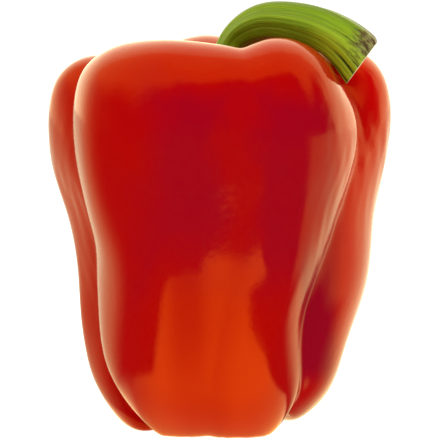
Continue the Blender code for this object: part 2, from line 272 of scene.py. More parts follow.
# The stem's centre line from the calyx to the cut end, as (x, y, z) and the radius there
STEM_LINE = (
    ((0.0010, 0.0000, 0.0893), 0.0046),
    ((0.0022, 0.0000, 0.0965), 0.0034),
    ((0.0055, -0.0010, 0.1009), 0.0038),
    ((0.0105, -0.0036, 0.1034), 0.0045),
    ((0.0161, -0.0068, 0.1038), 0.0049),
    ((0.0230, -0.0110, 0.1025), 0.0053),
    ((0.0285, -0.0135, 0.1001), 0.0056),
    ((0.0324, -0.0143, 0.0971), 0.0061),
    ((0.0355, -0.0146, 0.0936), 0.0066),
)
DRY_CORNER = (0.0375, -0.0165, 0.0970)  # where the stem's cut end is dry and brown

# Along the stem, a vertex's place runs from 0 at the calyx to 1 at the rim of the cut end, on to 2 at the
# middle of the cut end, and from 0 to -1 over the calyx.
END_PLACE = 2
UNDERSIDE_PLACE = -1

# Colours and gloss of the skin, with painted light and painted shade among the colours
SKIN_DEEP = (0.305, 0.0003, 0.0085, 1)
SKIN_DEEP_CLOUDS = (0.330, 0.0004, 0.0062, 1)
# painted light: the skin brighter on the left, down the middle, at the foot and at the top
SKIN_PAINTED_LIGHT = (0.385, 0.0006, 0.0012, 1)
# painted light on the upper right of the fruit
SKIN_RIGHT_TOP_LIGHT = (0.485, 0.0006, 0.0010, 1)
# painted shade: deeper red low on the right lobe
SKIN_RIGHT_LOW_SHADE = (0.265, 0.0003, 0.0105, 1)
SKIN_SHINE = (1.0, 0.32, 0.02, 1)
CLOUD_NOISE, CLOUD_EDGE = (45.0, 3.0), (0.3, 0.7)
FRECKLE_NOISE, FRECKLE_EDGE = (900.0, 2.0), (0.2, 0.8)
PORE_NOISE = (500.0, 2.0)
SKIN_ROUGHNESS = (0.10, 0.16)
SKIN_BUMP = 0.10
BUMP_HEIGHT = 0.0003

# Zones of painted light and painted shade on the skin, as ramps: where on the fruit a ramp starts and ends,
# and what it says there if that isn't 0 and 1
ZONE_WANDER = (0.030, -0.015)  # how far the clouds shift the zones' edges
LEFT_ZONE = (-0.010, -0.028)
STREAK_MIDDLE = -0.003
STREAK_ZONE = (0.0075, 0.0010, 0.0, 0.7)
FOOT_ZONE = (0.049, 0.027)
FOOT_RISE_MIDDLE = 0.004
FOOT_RISE = (0.018, 0.010, 0.0, -0.008)
TOP_ZONE = (0.078, 0.092)
RIGHT_TOP_ACROSS = (0.026, 0.034)
RIGHT_TOP_UP = (0.010, 0.074, 0.6, 1.0)
RIGHT_LOW_INNER = (0.0190, 0.0212)
RIGHT_LOW_OUTER = (0.0310, 0.0265)
RIGHT_LOW_UPPER = (0.052, 0.040)
RIGHT_LOW_LOWER = (0.010, 0.018)

# Colours and gloss of the stem, with painted light and painted shade among the colours
STEM_GREEN = (0.125, 0.250, 0.002, 1)
STEM_FIBRE = (0.200, 0.315, 0.006, 1)
STEM_BAND = (0.265, 0.365, 0.015, 1)
# painted shade on the faces of the stem that look upwards
STEM_UPPER_SHADE = (0.085, 0.150, 0.0005, 1)
# painted light on the sides of the stem near its cut end
STEM_END_PAINTED_LIGHT = (0.330, 0.400, 0.012, 1)
# painted shade in the creases between the folds at the cut end
STEM_CREASE_SHADE = (0.030, 0.045, 0.003, 1)
STEM_DRY_DARK = (0.065, 0.042, 0.012, 1)
STEM_DRY_LIGHT = (0.210, 0.180, 0.070, 1)
STEM_CUT = (0.70, 0.64, 0.36, 1)
STEM_ROUGHNESS = 0.42
STEM_SPECULAR = 0.25
STEM_BUMP = 0.6

# How the stem's colours are spread: a stretch and a noise for each pattern, then ramps as for the skin
FIBRE_STRETCH, FIBRE_NOISE = (12.0, 12.0, 9.0), (1.0, 4.0, 0.65)
BAND_STRETCH, BAND_NOISE = (4.5, 4.5, 1.6), (1.0, 3.0, 0.55)
FLECK_STRETCH, FLECK_NOISE = (9.0, 9.0, 22.0), (1.0, 3.0, 0.6)
FIBRE_EDGE = (0.33, 0.67)
BAND_EDGE = (0.48, 0.72, 0.0, 0.6)
FLECK_EDGE = (0.40, 0.62)
# Where painted shade darkens the stem's upward faces
UPPER_FACING, UPPER_UNEVENNESS = (0.55, 0.95, 0.0, 0.80), 0.3  # how far a face looks upwards
# Where painted light brightens the stem's sides near the cut end: along the stem, and how far a face looks
# upwards
END_PAINTED_LIGHT_ALONG, END_PAINTED_LIGHT_FACING = (0.60, 0.80), (0.50, 0.0, 0.0, 0.75)
# Fold heights between which painted shade darkens the creases
CREASE_HEIGHT = (-0.009, -0.034)
DRY_REACH, DRY_UNEVENNESS = (0.0118, 0.0070), 0.008  # metres from the dry corner
CUT_EDGE = (1.001, 1.02)  # just inside the rim of the cut end

# The camera
VIEW_TARGET = Vector((0, 0, 0.0530))
VIEW_DISTANCE = 0.65
VIEW_WIDTH = 0.1126  # width of the frame at the target
VIEW_ELEVATION = 4.5
SENSOR = 36

# The studio
KEY_PLACE, KEY_AIM, KEY_SIZE, KEY_POWER = (-0.03, -0.33, 0.9), (0, 0, 0.06), 0.5, 5.2
FLOOR_SIZE = 12
FLOOR_GREY = (0.45, 0.45, 0.45, 1)
FLOOR_GLOW = 1.02
WHITE = (1, 1, 1, 1)
BACKDROP_GLOW = 1.1
AMBIENT = (-0.3, 1.0, 0.40, 0.75)  # light that falls on the pepper from all round, from low to high

# What reflections see in the studio
SIDE_GLOW = 2.6  # brightness of what the pepper reflects from behind and from its sides
TOP_GLOW = 2.3
PATCH_TINT = (1.0, 0.58, 0.17, 1)
SIDE_TINT = (1.0, 0.86, 0.42, 1)
BACK_TINT = (1.0, 0.93, 0.62, 1)
FLOOR_REST = 0.006  # brightness where nothing glows
BACKDROP_REST = 0.005
BEHIND = (105, 170)  # degrees to either side between which the back begins

# The bright patch of the floor before the pepper, with a dimmer dip left of its middle. Ramps run over
# metres, or over degrees where their names say so. The left limit is an azimuth in radians that changes over
# metres, and its softness is in radians. The far edge is the one farthest from the pepper.
PATCH_LEFT_EDGE = (-0.055, -0.047)
PATCH_RIGHT_EDGE_FAR = (-0.0995, -0.1165, 0.0, 0.0315)
PATCH_RIGHT_EDGE_NEAR = (-0.0875, -0.0375, 0.018, 0.035)
PATCH_RIGHT_SOFTNESS = (-0.003, 0.003)
PATCH_FAR_EDGE_LEFT = (-0.060, -0.005, -0.100, -0.121)
PATCH_FAR_EDGE_RIGHT = (0.002, 0.018, 0.0, -0.036)
PATCH_FAR_SHIFT = (-0.010, 0.010, 0.006, 0.001)
PATCH_FAR_SOFTNESS = (0.0, 0.007)
PATCH_LEFT_LIMIT = (-0.020, -0.050, math.radians(-68), math.radians(-42))
PATCH_LEFT_SOFTNESS = (-0.05, 0.07)
PATCH_FALL_LEFT_DEGREES = (-70, -25, 0.35, 1.0)
PATCH_RIGHT_LIMIT_DEGREES = (74, 67)
PATCH_BRIGHTNESS = (-0.120, -0.050, 4.4, 6.0)
PATCH_NEAR_FALL = (-0.014, -0.045, 0.45, 1.0)
DIP_LEFT_DEGREES, DIP_RIGHT_DEGREES = (-14, -42), (-4, 13)
DIP_DEPTH = (0.040, 0.095, 0.30, 0.68)
TINT_TURN_DEGREES = (45, 80)

# The glow of the floor beside the pepper
FLOOR_RIGHT_DEGREES = (73, 117, 0.0, 0.75)
FLOOR_RIGHT_FAR_DEGREES, FLOOR_RIGHT_FAR = (57, 69), (0.085, 0.150, 0.0, 0.62)
FLOOR_LEFT_DEGREES = (-76, -110, 0.0, 0.52)
FLOOR_LEFT_NEAR_DEGREES, FLOOR_LEFT_NEAR = (-42, -80), (0.066, 0.026, 0.0, 0.95)

# The glow of the surroundings beside, behind and above the pepper
RIGHT_DEGREES, LEFT_DEGREES = (87, 117), (-68, -138)
RIGHT_NOISE, RIGHT_WANDER = (7.0, 2.0, 0.5), (0.9, -0.45)
LEFTWARD_DEGREES, RIGHTWARD_DEGREES = (-12, -64), (56, 67)
RIGHTWARD_FALL_DEGREES = (84, 74, 0.5, 1.0)
TOP_EDGE_NOISE, TOP_EDGE_HEIGHT = (3.4, 3.0, 0.55), (0.26, 0.40)
LOWERED_LEFT, LOWERED_RIGHT = 0.36, 0.38
TOP_SOFTNESS = (0.17, 0.13)
TOP_TINT = (0.0, 0.6)


def cubic_spline(knots, values, at, period=None):
    """Values at the places `at` of the natural cubic spline through the knots, or of the periodic one."""
    knots, values = np.asarray(knots, float), np.asarray(values, float)
    if period:
        knots = np.concatenate([knots - period, knots, knots + period])
        values = np.tile(values, 3)
    count = len(knots)
    gap = np.diff(knots)
    slope = np.diff(values) / gap
    system, right = np.eye(count), np.zeros(count)
    for i in range(1, count - 1):
        system[i, i - 1 : i + 2] = gap[i - 1], 2 * (gap[i - 1] + gap[i]), gap[i]
        right[i] = 6 * (slope[i] - slope[i - 1])
    bend = np.linalg.solve(system, right)
    i = np.clip(np.searchsorted(knots, at) - 1, 0, count - 2)
    step = np.asarray(at, float) - knots[i]
    first = slope[i] - gap[i] * (2 * bend[i] + bend[i + 1]) / 6
    return values[i] + step * (first + step * (bend[i] / 2 + step * (bend[i + 1] - bend[i]) / (6 * gap[i])))


def smooth_step(low, high, x):
    t = np.clip((x - low) / (high - low), 0, 1)
    return t * t * (3 - 2 * t)


def round_lines(values, u):
    """A value given on each line, at the column positions u, which count lines round the fruit."""
    return cubic_spline(range(len(LINES)), values, u, period=len(LINES))


def at_levels(values, v):
    """A value given at each level, at the places v along the outline."""
    return cubic_spline((0,) + LEVELS + (1,), (values[0],) + values + (values[-1],), v)


def round_each_ring(values, u):
    """Values given on each line at each ring, spread over the columns: an array of columns by rings."""
    return np.array([round_lines(ring_values, u) for ring_values in np.transpose(values)]).T


def column_azimuths(u, v):
    """Azimuth in radians of each column at each ring, so that columns run along the crests and grooves."""
    even = 360 / len(LINES)
    beyond_even = [at_levels(line.azimuths, v) - even * k for k, line in enumerate(LINES)]
    return np.radians(round_each_ring(beyond_even, u) + even * u[:, None])


def envelope(u, v):
    """Points of the fruit without its grooves, on a grid of columns u and rings v."""
    reaches = round_lines([line.reach for line in LINES], u)
    heights = round_lines([line.height for line in LINES], u)
    seat = FRUIT_HEIGHT - SEAT_DEPTH
    radius, height = [], []
    for column_reach, column_height in zip(reaches, heights):
        r = [0, SEAT_RADIUS / 2, SEAT_RADIUS] + [share * column_reach for share, _ in LOBE_OUTLINE] + [0]
        z = [seat, seat + SEAT_RISE / 4, seat + SEAT_RISE]
        z += [share * column_height for _, share in LOBE_OUTLINE] + [SCAR_HEIGHT]
        length = np.concatenate([[0], np.cumsum(np.hypot(np.diff(r), np.diff(z)))])
        radius.append(cubic_spline(length / length[-1], r, v))
        height.append(cubic_spline(length / length[-1], z, v))
    radius, height = np.array(radius), np.array(height)
    azimuth = column_azimuths(u, v)
    bend = cubic_spline(*zip(*AXIS_BEND), height / FRUIT_HEIGHT)
    return np.stack([radius * np.sin(azimuth) + bend, -radius * np.cos(azimuth), height], axis=2)


def surface_normals(points):
    """Outward normals of a grid of points whose last column is beside its first."""
    around = np.roll(points, -1, axis=0) - np.roll(points, 1, axis=0)
    along = np.gradient(points, axis=1)
    normal = np.cross(along, around)
    return normal / np.linalg.norm(normal, axis=2, keepdims=True)


def notch(x, flank):
    """Depth of a groove, from 1 at its bottom to 0 at the crests beside it, at x of the way to a crest."""
    def profile(t):
        return 1 - (1 - (1 - np.clip(t, 0, 1)) ** 2) ** (1 / flank)

    far = smooth_step(*ROUNDING_FADE, x)
    rounded = np.hypot(x, GROOVE_ROUNDING) * (1 - far) + x * far
    return profile(rounded) / profile(GROOVE_ROUNDING)


def relief(u, v):
    """How far the skin lies outside the envelope, which is less than nothing in the grooves."""
    fullness = [at_levels(line.fullness, v) if isinstance(line, Crest) else 0 * v for line in LINES]
    height = round_each_ring(fullness, u)
    for k, line in enumerate(LINES):
        if isinstance(line, Crest):
            continue
        across = (u - k + len(LINES) / 2) % len(LINES) - len(LINES) / 2
        depth = at_levels(line.depths, v)
        for side, (at_crown, at_tip) in zip((-1, 1), line.flanks):
            near = (np.sign(across + 1e-9) == side) & (np.abs(across) < 1)
            flank = at_crown + (at_tip - at_crown) * v
            height[near] -= notch(np.abs(across[near, None]), flank) * depth
    return height / 1000 * smooth_step(*CROWN_FADE, v) * (1 - smooth_step(*TIP_FADE, v))


def swelling(points):
    """Shallow uneven swellings of the skin."""
    x, y, z = np.moveaxis(points, 2, 0)
    around = np.arctan2(y, x)
    height = 0
    for count, drift, beat, start, beat_start, share in SWELLING_WAVES:
        height = height + share * np.sin(count * around + drift * z + start) * np.sin(beat * z + beat_start)
    return SWELLING * height * smooth_step(*SWELLING_FADE, np.hypot(x, y))


def local_forms(points, forms):
    """The summed heights of forms that each stand at one place of the skin, in metres."""
    x, y, z = np.moveaxis(points, 2, 0)
    azimuth = np.degrees(np.arctan2(x, -y))
    height = 0
    for middle, level, width, tallness, amount in forms:
        away = (azimuth - middle + 180) % 360 - 180
        height = height + amount * np.exp(-0.5 * ((away / width) ** 2 + ((z - level) / tallness) ** 2))
    return height / 1000


def phase(wave, turn, along):
    sway = wave.sway * np.sin(wave.beat * along + wave.beat_start)
    return wave.count * turn + wave.start + wave.drift * along + sway


def wrinkles(points):
    """Faint upright wrinkles in the skin of the walls."""
    x, y, z = np.moveaxis(points, 2, 0)
    around = np.arctan2(x, -y)
    height = sum(wave.share * np.sin(phase(wave, around, z)) for wave in WRINKLE_WAVES)
    share, turning, rising = WRINKLE_UNEVENNESS
    height = height * (1 - share + share * np.sin(rising * z + turning * around))
    return height * local_forms(points, WRINKLED)


def fruit_grid(u, v):
    points = envelope(u, v)
    normals = surface_normals(points)
    broad = local_forms(points, BROAD_FORMS) * smooth_step(*CROWN_FADE, v)
    height = swelling(points) + broad + wrinkles(points) + relief(u, v)
    return points + normals * height[..., None]


def column_positions(per_flank):
    """Positions of the columns, closer together beside the grooves than on the crests."""
    share = np.arange(per_flank) / per_flank
    towards_groove = 1 - (1 - share) ** COLUMN_CROWDING
    from_groove = share**COLUMN_CROWDING
    lobes = [[k + towards_groove, k + 1 + from_groove] for k in range(0, len(LINES), 2)]
    return np.concatenate(lobes).ravel()


def seat_height(radius):
    """Height of the fruit's seat at a distance from its middle."""
    return FRUIT_HEIGHT - SEAT_DEPTH - FOOT_CUT + SEAT_RISE * (radius / SEAT_RADIUS) ** 2


def stem_frames(count):
    """Points along the stem's centre line, with two directions across it and the radius at each."""
    places = np.linspace(0, len(STEM_LINE) - 1, count)
    centres = np.array([point for point, _ in STEM_LINE])
    centres = np.stack([cubic_spline(range(len(centres)), axis, places) for axis in centres.T], axis=1)
    radii = cubic_spline(range(len(STEM_LINE)), [radius for _, radius in STEM_LINE], places)
    along = np.gradient(centres, axis=0)
    along /= np.linalg.norm(along, axis=1, keepdims=True)
    first, second = [], []
    direction = np.array([1.0, 0.0, 0.0])
    for tangent in along:
        direction = direction - tangent * direction.dot(tangent)
        direction /= np.linalg.norm(direction)
        first.append(direction)
        second.append(np.cross(tangent, direction))
    return centres, along, np.array(first), np.array(second), radii


def striations(turn, place):
    """Fine lengthwise ridges of the stem, which turn into folds at the cut end, in shares of its radius."""
    fibres = sum(wave.share * np.sin(phase(wave, turn, place)) for wave in FIBRE_WAVES)
    sines = [(wave.share, np.abs(np.sin(phase(wave, turn, place)))) for wave in FOLD_WAVES]
    folds = sum(share * sine**FOLD_SHARPNESS for share, sine in sines)
    return FIBRE_SHARE * fibres + END_FOLDS * smooth_step(*END_FOLDS_FADE, place) * (folds - FOLD_LEVEL)


def calyx_rings(turn):
    """Rings of the calyx, from its top to its underside."""
    tooth = np.cos(CALYX_TEETH * turn + CALYX_SKEW * np.sin(turn))
    rim = CALYX_RADIUS + CALYX_TOOTH_LENGTH * tooth * (1 + TOOTH_VARIATION * np.cos(2 * turn))
    section = np.array(CALYX_SECTION)
    steps = len(section) - 1
    fine = np.linspace(0, steps, CALYX_RINGS_PER_STEP * steps + 1)
    shares, lifts = (np.interp(fine, np.arange(len(section)), column) for column in section.T)
    rings = []
    for share, lift in zip(shares, lifts):
        r = rim * share
        z = seat_height(r) + SEAT_GAP + CALYX_THICKNESS * lift * (1 + TOOTH_LIFT * tooth)
        rings.append(np.stack([r * np.cos(turn), r * np.sin(turn), z], axis=1))
    return np.stack(rings, axis=1)


def stem_grid(columns, rings):
    """Rings of the stem and calyx, from the middle of the cut end to the middle of the underside.

    With them come the middle of the cut end, each column's turn, each ring's place and the folds' heights.
    """
    turn = np.arange(columns) / columns * 2 * math.pi
    place = np.linspace(0, 1, rings)
    folds = striations(turn[:, None], place[None, :])
    ribs = 1 + STEM_RIB_SHARE * np.cos(STEM_RIBS * turn)[:, None] + folds
    centres, along, first, second, radii = stem_frames(rings)
    across = np.cos(turn)[:, None, None] * first + np.sin(turn)[:, None, None] * second
    spokes = across * (radii * ribs)[..., None]
    outer = np.array([0, 0, 1]) - along * along[:, 2:]
    outer /= np.linalg.norm(outer, axis=1, keepdims=True)
    slant = math.tan(math.radians(END_SLANT)) * smooth_step(1 - END_SLANT_LENGTH, 1, place)
    spokes -= (spokes * outer).sum(axis=2, keepdims=True) * slant[:, None] * along
    upward = np.maximum((spokes * outer).sum(axis=2) / radii, 0)
    at_end = np.clip(1 - (1 - place) / END_ROUNDING_LENGTH, 0, 1)
    spokes *= (1 - END_ROUNDING * at_end**2 * upward**2)[..., None]
    barrel = centres + spokes
    shares = np.array(END_RINGS)
    dish = END_DISH * (1 - shares**2)
    end = centres[-1] + spokes[:, -1:] * shares[:, None]
    end = end - dish[None, :, None] * along[-1]
    calyx = calyx_rings(turn)
    grid = np.concatenate([end, barrel[:, ::-1], calyx], axis=1)
    places = [END_PLACE - shares, place[::-1], np.linspace(0, UNDERSIDE_PLACE, calyx.shape[1])]
    folds = np.concatenate([np.zeros(end.shape[:2]), folds[:, ::-1], np.zeros(calyx.shape[:2])], axis=1)
    return grid, centres[-1] - END_DISH * along[-1], turn, np.concatenate(places), folds


class Sphere:
    """A UV sphere whose vertices take values from a grid of columns by rings and from its two poles."""

    def __init__(self, name, columns, rings):
        bm = bmesh.new()
        bmesh.ops.create_uvsphere(bm, u_segments=columns, v_segments=rings + 1, radius=1)
        self.mesh = bpy.data.meshes.new(name)
        bm.to_mesh(self.mesh)
        bm.free()
        places = np.empty(len(self.mesh.vertices) * 3)
        self.mesh.vertices.foreach_get("co", places)
        x, y, z = places.reshape(-1, 3).T
        turn = 2 * math.pi
        self.column = np.round(np.arctan2(y, x) % turn / turn * columns).astype(int) % columns
        ring = np.round(np.arccos(np.clip(z, -1, 1)) / math.pi * (rings + 1)).astype(int)
        self.ring = np.clip(ring - 1, 0, rings - 1)
        self.is_pole = np.hypot(x, y) < 1e-5
        self.is_first = z > 0

    def spread(self, grid, first_pole, last_pole):
        """The value of each vertex, in one row, from a grid of numbers or vectors and from the poles' own."""
        chosen = grid[self.column, self.ring]
        is_pole, is_first = self.is_pole, self.is_first
        if grid.ndim == 3:
            is_pole, is_first = is_pole[:, None], is_first[:, None]
        return np.where(is_pole, np.where(is_first, first_pole, last_pole), chosen).ravel()

    def lay(self, grid, first_pole, last_pole):
        self.mesh.vertices.foreach_set("co", self.spread(grid, first_pole, last_pole))

    def finish(self, material):
        self.mesh.update()
        self.mesh.shade_smooth()
        self.mesh.set_sharp_from_angle(angle=math.radians(SHARP_ANGLE))
        return new_object(self.mesh.name, self.mesh, material)


def new_object(name, mesh, material):
    mesh.materials.append(material)
    piece = bpy.data.objects.new(name, mesh)
    bpy.context.scene.collection.objects.link(piece)
    return piece


class Graph:
    """Adds nodes to a node tree and links them."""

    def __init__(self, tree):
        self.tree = tree

    def add(self, kind, inputs=(), **settings):
        made = self.tree.nodes.new(kind)
        for key, value in settings.items():
            setattr(made, key, value)
        for key, value in dict(inputs).items():
            self.put(value, made.inputs[key])
        return made

    def put(self, value, socket):
        if isinstance(value, bpy.types.NodeSocket):
            self.tree.links.new(value, socket)
        else:
            socket.default_value = value

    def math(self, operation, *values):
        return self.add("ShaderNodeMath", dict(enumerate(values)), operation=operation).outputs[0]

    def chain(self, operation, first, *others):
        """One operation on several values in turn."""
        for other in others:
            first = self.math(operation, first, other)
        return first

    def product(self, *values):
        return self.chain("MULTIPLY", *values)

    def total(self, *values):
        return self.chain("ADD", *values)

    def highest(self, *values):
        return self.chain("MAXIMUM", *values)

    def scaled(self, value, factor, offset):
        return self.math("MULTIPLY_ADD", value, factor, offset)

    def ramp(self, value, low, high, to_low=0.0, to_high=1.0):
        inputs = {"Value": value, "From Min": low, "From Max": high, "To Min": to_low, "To Max": to_high}
        return self.add("ShaderNodeMapRange", inputs, interpolation_type="SMOOTHSTEP").outputs["Result"]

    def turn_ramp(self, azimuth, low, high, to_low=0.0, to_high=1.0):
        """A ramp between two azimuths in degrees."""
        return self.ramp(azimuth, math.radians(low), math.radians(high), to_low, to_high)

    def mix(self, share, a, b):
        made = self.add("ShaderNodeMix", data_type="RGBA")
        sockets = [s for s in made.inputs if s.type == "RGBA"]
        self.put(share, made.inputs["Factor"])
        self.put(a, sockets[0])
        self.put(b, sockets[1])
        return [s for s in made.outputs if s.type == "RGBA"][0]

    def mix_numbers(self, share, a, b):
        made = self.add("ShaderNodeMix", data_type="FLOAT")
        for socket, value in zip((made.inputs[0], made.inputs[2], made.inputs[3]), (share, a, b)):
            self.put(value, socket)
        return made.outputs[0]

    def noise(self, vector, scale, detail=2.0, roughness=0.5):
        inputs = {"Vector": vector, "Scale": scale, "Detail": detail, "Roughness": roughness}
        return self.add("ShaderNodeTexNoise", inputs).outputs[0]

    def stretch(self, vector, scale):
        return self.add("ShaderNodeMapping", {"Vector": vector, "Scale": scale}).outputs[0]

    def bump(self, height, strength):
        inputs = {"Strength": strength, "Distance": BUMP_HEIGHT, "Height": height}
        return self.add("ShaderNodeBump", inputs).outputs[0]

    def split(self, vector):
        return self.add("ShaderNodeSeparateXYZ", {0: vector}).outputs[:3]

    def azimuth(self, x, y):
        """Azimuth in radians from the front towards the right."""
        return self.math("ARCTAN2", x, self.math("MULTIPLY", y, -1.0))


def new_material(name):
    material = bpy.data.materials.new(name)
    material.use_nodes = True
    return material, Graph(material.node_tree), material.node_tree.nodes["Principled BSDF"]


def painted_light_zones(g, x, z, clouds):
    """How far painted light brightens the skin: on the left, down the middle, at the foot and at the top."""
    wander = g.scaled(clouds, *ZONE_WANDER)
    left = g.ramp(g.total(x, wander), *LEFT_ZONE)
    rise = g.ramp(g.math("ABSOLUTE", g.total(x, FOOT_RISE_MIDDLE)), *FOOT_RISE)
    foot = g.ramp(g.total(z, wander, rise), *FOOT_ZONE)
    streak = g.ramp(g.math("ABSOLUTE", g.total(x, wander, STREAK_MIDDLE)), *STREAK_ZONE)
    top = g.ramp(g.total(z, wander), *TOP_ZONE)
    return g.highest(left, streak, foot, top)


def skin_material():
    """Deep red, smooth and waxy skin, brightened by painted light in zones and on the upper right and
    darkened by painted shade low on the right.
    """
    material, g, shader = new_material("pepper_skin")
    place = g.add("ShaderNodeTexCoord").outputs["Object"]
    x, _, z = g.split(place)
    clouds = g.noise(place, *CLOUD_NOISE)
    colour = g.mix(g.ramp(clouds, *CLOUD_EDGE), SKIN_DEEP, SKIN_DEEP_CLOUDS)
    # Painted light in zones of the skin
    colour = g.mix(painted_light_zones(g, x, z, clouds), colour, SKIN_PAINTED_LIGHT)
    # Painted light on the upper right
    right_top_light = g.product(g.ramp(x, *RIGHT_TOP_ACROSS), g.ramp(z, *RIGHT_TOP_UP))
    colour = g.mix(right_top_light, colour, SKIN_RIGHT_TOP_LIGHT)
    # Painted shade low on the right lobe
    across = (g.ramp(x, *RIGHT_LOW_INNER), g.ramp(x, *RIGHT_LOW_OUTER))
    right_low_shade = g.product(*across, g.ramp(z, *RIGHT_LOW_UPPER), g.ramp(z, *RIGHT_LOW_LOWER))
    colour = g.mix(right_low_shade, colour, SKIN_RIGHT_LOW_SHADE)
    g.put(colour, shader.inputs["Base Color"])
    freckles = g.noise(place, *FRECKLE_NOISE)
    g.put(g.ramp(freckles, *FRECKLE_EDGE, *SKIN_ROUGHNESS), shader.inputs["Roughness"])
    shader.inputs["Specular Tint"].default_value = SKIN_SHINE
    g.put(g.bump(g.noise(place, *PORE_NOISE), SKIN_BUMP), shader.inputs["Normal"])
    return material


def stem_material():
    """Green fibrous stem, dry and brown at the upper corner of its pale cut end, with painted shade on faces
    that look upwards and in the creases, and painted light on its sides near the cut end.
    """
    material, g, shader = new_material("pepper_stem")
    space = g.add("ShaderNodeAttribute", attribute_name="stem_space").outputs["Vector"]
    folds = g.add("ShaderNodeAttribute", attribute_name="stem_folds").outputs["Fac"]
    along = g.split(space)[2]
    upward = g.split(g.add("ShaderNodeNewGeometry").outputs["Normal"])[2]
    place = g.add("ShaderNodeTexCoord").outputs["Object"]
    fibres = g.noise(g.stretch(space, FIBRE_STRETCH), *FIBRE_NOISE)
    bands = g.noise(g.stretch(space, BAND_STRETCH), *BAND_NOISE)
    colour = g.mix(g.ramp(fibres, *FIBRE_EDGE), STEM_GREEN, STEM_FIBRE)
    colour = g.mix(g.ramp(bands, *BAND_EDGE), colour, STEM_BAND)
    # Painted shade on faces that look upwards
    upper = g.ramp(g.total(upward, g.product(fibres, UPPER_UNEVENNESS)), *UPPER_FACING)
    colour = g.mix(upper, colour, STEM_UPPER_SHADE)
    # Painted light on the sides near the cut end
    end_painted_light = g.product(g.ramp(along, *END_PAINTED_LIGHT_ALONG), g.ramp(upward, *END_PAINTED_LIGHT_FACING))
    colour = g.mix(end_painted_light, colour, STEM_END_PAINTED_LIGHT)
    # Painted shade in the creases between the folds
    colour = g.mix(g.ramp(folds, *CREASE_HEIGHT), colour, STEM_CREASE_SHADE)
    corner = g.add("ShaderNodeVectorMath", {0: place, 1: DRY_CORNER}, operation="DISTANCE").outputs["Value"]
    flecks = g.noise(g.stretch(space, FLECK_STRETCH), *FLECK_NOISE)
    near = g.ramp(g.total(corner, g.product(flecks, DRY_UNEVENNESS)), *DRY_REACH)
    colour = g.mix(near, colour, g.mix(g.ramp(flecks, *FLECK_EDGE), STEM_DRY_DARK, STEM_DRY_LIGHT))
    colour = g.mix(g.ramp(along, *CUT_EDGE), colour, STEM_CUT)
    g.put(colour, shader.inputs["Base Color"])
    shader.inputs["Roughness"].default_value = STEM_ROUGHNESS
    shader.inputs["Specular IOR Level"].default_value = STEM_SPECULAR
    g.put(g.bump(fibres, STEM_BUMP), shader.inputs["Normal"])
    return material


def build_fruit():
    u = column_positions(COLUMNS_PER_FLANK)
    v = np.arange(1, FRUIT_RINGS) / FRUIT_RINGS
    grid = fruit_grid(u, v)
    grid[..., 2] = np.maximum(grid[..., 2] - FOOT_CUT, 0)
    sphere = Sphere("fruit_skin", *grid.shape[:2])
    sphere.lay(grid, (0, 0, FRUIT_HEIGHT - SEAT_DEPTH - FOOT_CUT), (0, 0, SCAR_HEIGHT - FOOT_CUT))
    return sphere.finish(skin_material())


def build_stem():
    """The stem and its calyx, with what their material needs to know of each vertex."""
    grid, end_middle, turn, places, folds = stem_grid(STEM_COLUMNS, STEM_RINGS)
    sphere = Sphere("stem_and_calyx", *grid.shape[:2])
    sphere.lay(grid, end_middle, (0, 0, seat_height(0) + SEAT_GAP))
    space = np.stack(np.broadcast_arrays(np.cos(turn)[:, None], np.sin(turn)[:, None], places), axis=2)
    space = sphere.spread(space, (0, 0, END_PLACE), (0, 0, UNDERSIDE_PLACE))
    sphere.mesh.attributes.new("stem_space", "FLOAT_VECTOR", "POINT").data.foreach_set("vector", space)
    folds = sphere.spread(folds, 0, 0)
    sphere.mesh.attributes.new("stem_folds", "FLOAT", "POINT").data.foreach_set("value", folds)
    return sphere.finish(stem_material())


def floor_patch(g, x, y, azimuth, distance):
    """Brightness of the patch of the floor before the pepper."""
    right_edge = g.total(g.ramp(y, *PATCH_RIGHT_EDGE_FAR), g.ramp(y, *PATCH_RIGHT_EDGE_NEAR))
    from_right = g.math("SUBTRACT", right_edge, x)
    far_edge = g.total(g.ramp(x, *PATCH_FAR_EDGE_LEFT), g.ramp(x, *PATCH_FAR_EDGE_RIGHT))
    from_far = g.total(g.math("SUBTRACT", y, far_edge), g.ramp(x, *PATCH_FAR_SHIFT))
    from_left = g.math("SUBTRACT", azimuth, g.ramp(y, *PATCH_LEFT_LIMIT))
    beside_dip = g.highest(g.turn_ramp(azimuth, *DIP_LEFT_DEGREES), g.turn_ramp(azimuth, *DIP_RIGHT_DEGREES))
    dip = g.product(g.math("SUBTRACT", 1.0, beside_dip), g.ramp(distance, *DIP_DEPTH))
    return g.product(
        g.ramp(x, *PATCH_LEFT_EDGE),
        g.ramp(from_right, *PATCH_RIGHT_SOFTNESS),
        g.ramp(from_far, *PATCH_FAR_SOFTNESS),
        g.ramp(from_left, *PATCH_LEFT_SOFTNESS),
        g.turn_ramp(azimuth, *PATCH_FALL_LEFT_DEGREES),
        g.turn_ramp(azimuth, *PATCH_RIGHT_LIMIT_DEGREES),
        g.ramp(y, *PATCH_BRIGHTNESS),
        g.ramp(y, *PATCH_NEAR_FALL),
        g.math("SUBTRACT", 1.0, dip),
    )


def floor_sides(g, azimuth, distance):
    """Brightness of the floor beside and behind the pepper."""
    right = g.turn_ramp(azimuth, *FLOOR_RIGHT_DEGREES)
    right_far = g.product(g.turn_ramp(azimuth, *FLOOR_RIGHT_FAR_DEGREES), g.ramp(distance, *FLOOR_RIGHT_FAR))
    left = g.turn_ramp(azimuth, *FLOOR_LEFT_DEGREES)
    left_near = g.product(g.turn_ramp(azimuth, *FLOOR_LEFT_NEAR_DEGREES), g.ramp(distance, *FLOOR_LEFT_NEAR))
    return g.product(g.highest(right, left, left_near, right_far), SIDE_GLOW)


